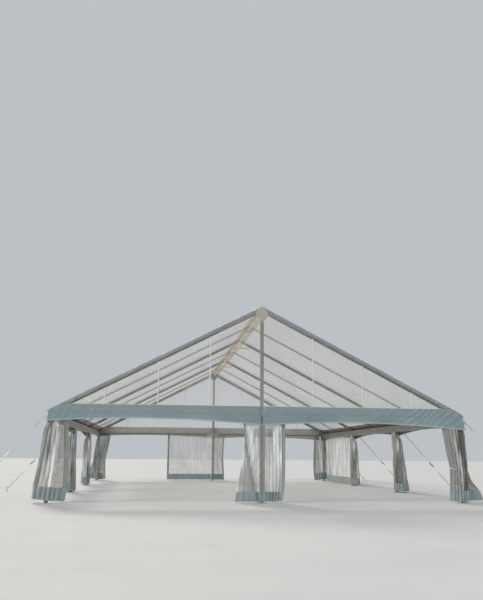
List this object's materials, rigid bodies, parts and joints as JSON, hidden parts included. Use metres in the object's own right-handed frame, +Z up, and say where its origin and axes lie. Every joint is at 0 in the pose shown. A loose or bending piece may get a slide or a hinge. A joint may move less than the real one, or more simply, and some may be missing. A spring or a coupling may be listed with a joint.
{
  "type": "clear-top frame marquee tent",
  "caption": "Clear-roofed frame marquee with white vinyl borders and scalloped valance, gathered clear curtains and side guy straps.",
  "frame": {"origin": "on the ground under the middle of the plan", "axes": "+X across the tent to the right seen from the front gable, +Y along the ridge to the back gable, +Z up"},
  "size_m": [16.444, 18.4354, 5.62],
  "materials": {
    "aluminium": "mill-finished extrusion, dull",
    "white_vinyl": "satin coated fabric, slightly translucent",
    "clear_vinyl": "clear flexible sheet with creases and a milky cast",
    "strap_webbing": "pale woven polyester webbing with steel ratchets"
  },
  "bodies": {
    "root": {"back_curtain": "clear_vinyl", "back_wall": "clear_vinyl", "corner_curtain_back_left": "clear_vinyl", "corner_curtain_back_right": "clear_vinyl", "corner_curtain_front_left": "clear_vinyl", "corner_curtain_front_right": "clear_vinyl", "crown_tie_2": "aluminium", "crown_tie_3": "aluminium", "eave_cover_left": "white_vinyl", "eave_cover_right": "white_vinyl", "eave_purlin_left": "aluminium", "eave_purlin_right": "aluminium", "front_curtain_left": "clear_vinyl", "front_curtain_right": "clear_vinyl", "gable_beam_back": "aluminium", "gable_beam_front": "aluminium", "gable_border_back": "white_vinyl", "gable_border_front": "white_vinyl", "gable_window_back": "clear_vinyl", "gable_window_front": "clear_vinyl", "guy_left_1": "strap_webbing", "guy_left_2": "strap_webbing", "guy_left_3": "strap_webbing", "guy_left_4": "strap_webbing", "guy_right_1": "strap_webbing", "guy_right_2": "strap_webbing", "guy_right_3": "strap_webbing", "guy_right_4": "strap_webbing", "king_pole_back": "aluminium", "king_pole_front": "aluminium", "leg_left_1": "aluminium", "leg_left_2": "aluminium", "leg_left_3": "aluminium", "leg_left_4": "aluminium", "leg_right_1": "aluminium", "leg_right_2": "aluminium", "leg_right_3": "aluminium", "leg_right_4": "aluminium", "mid_rafter_1": "aluminium", "mid_rafter_2": "aluminium", "mid_rafter_3": "aluminium", "rafter_left_1": "aluminium", "rafter_left_2": "aluminium", "rafter_left_3": "aluminium", "rafter_left_4": "aluminium", "rafter_right_1": "aluminium", "rafter_right_2": "aluminium", "rafter_right_3": "aluminium", "rafter_right_4": "aluminium", "ridge_band": "white_vinyl", "ridge_purlin": "aluminium", "roof_clear_left": "clear_vinyl", "roof_clear_right": "clear_vinyl", "side_curtain_left_2": "clear_vinyl", "side_curtain_left_3": "clear_vinyl", "side_curtain_right_2": "clear_vinyl", "side_curtain_right_3": "clear_vinyl", "side_wall": "clear_vinyl"}
  },
  "joints": []
}
